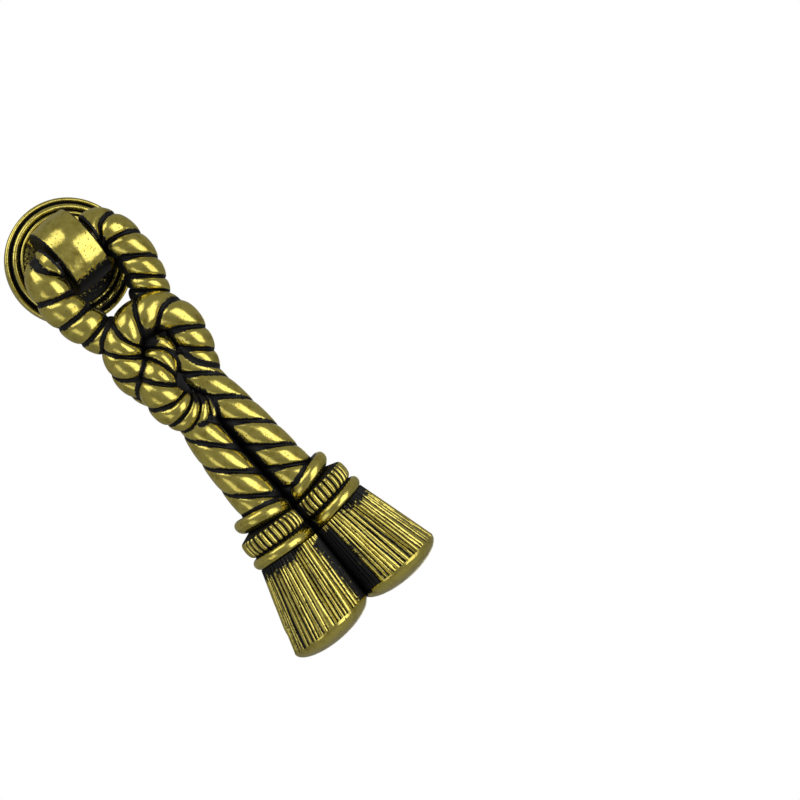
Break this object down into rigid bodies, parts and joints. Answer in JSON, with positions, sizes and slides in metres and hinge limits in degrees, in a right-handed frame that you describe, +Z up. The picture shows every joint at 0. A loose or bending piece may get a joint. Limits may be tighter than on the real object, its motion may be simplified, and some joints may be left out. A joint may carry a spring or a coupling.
{
  "type": "drop pull",
  "caption": "Drop pull for a drawer or cabinet door: a round moulded rosette with a ridged eye post, and a cast rope ring, knot and twin tassels that swing from a pin.",
  "frame": {"origin": "centre of the screw hole at the rosette's back face", "axes": "+Z up with the drop hanging down, +Y into the drawer front, -Y to the front, +X to the right"},
  "size_m": [0.0342, 0.0165, 0.0976],
  "materials": {
    "antique_brass": "cast, brass plated, blackened and buffed back: bright high spots, black hollows",
    "pin_steel": "plain ground steel"
  },
  "bodies": {
    "base": {"rosette": "antique_brass", "eye_post": "antique_brass"},
    "drop": {"tassel_drop": "antique_brass", "hinge_pin": "pin_steel"}
  },
  "joints": [
    {"name": "drop_swing", "type": "hinge", "parent": "base", "child": "drop", "pos_m": [0, -0.01, 0], "axis": [-1, 0, 0], "range_deg": [-4, 175]}
  ]
}
